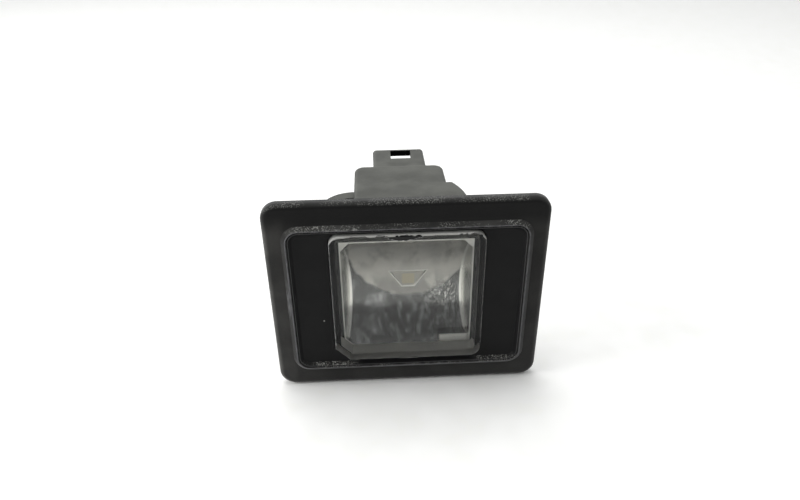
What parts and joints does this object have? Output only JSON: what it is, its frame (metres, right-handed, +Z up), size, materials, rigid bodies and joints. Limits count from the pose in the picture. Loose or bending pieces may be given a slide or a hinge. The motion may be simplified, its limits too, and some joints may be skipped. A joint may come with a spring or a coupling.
{
  "type": "number plate lamp",
  "caption": "Rectangular car number plate lamp: clear lens over a metallised reflector, black housing with a soft seal frame, snap fixings and a rear plug connector.",
  "frame": {"origin": "centre of the seal frame's rear face, in the plane where the seal rests on the bodywork", "axes": "+X to the right seen from the front along the frame's long side, +Y from the lens to the rear connector and out of the seal's rear face, +Z up with the rear box and connector in the upper half; the lens faces -Y"},
  "size_m": [0.075, 0.0558, 0.0584],
  "materials": {
    "seal_rubber": "satin moulded soft rubber, dusty on its upper edges",
    "housing_plastic": "injection-moulded black plastic, satin",
    "lens_clear": "clear moulded polycarbonate, worn on its top edge",
    "reflector_metallised": "vacuum-metallised plastic, satin, dulled by age",
    "board_laminate": "green solder mask on glass-fibre laminate",
    "led_ceramic": "pale grey moulded package",
    "led_phosphor": "pale yellow silicone with phosphor",
    "chip_black": "black moulded epoxy",
    "capacitor_ceramic": "tan sintered ceramic",
    "terminal_tinned": "stamped brass, tinned"
  },
  "bodies": {
    "root": {"seal_frame": "seal_rubber", "housing": "housing_plastic", "lens": "lens_clear", "reflector": "reflector_metallised", "circuit_board": "board_laminate", "led_body": "led_ceramic", "led_phosphor": "led_phosphor", "resistors": "chip_black", "capacitor": "capacitor_ceramic", "protection_diode": "chip_black", "terminal_left": "terminal_tinned", "terminal_right": "terminal_tinned"}
  },
  "joints": []
}
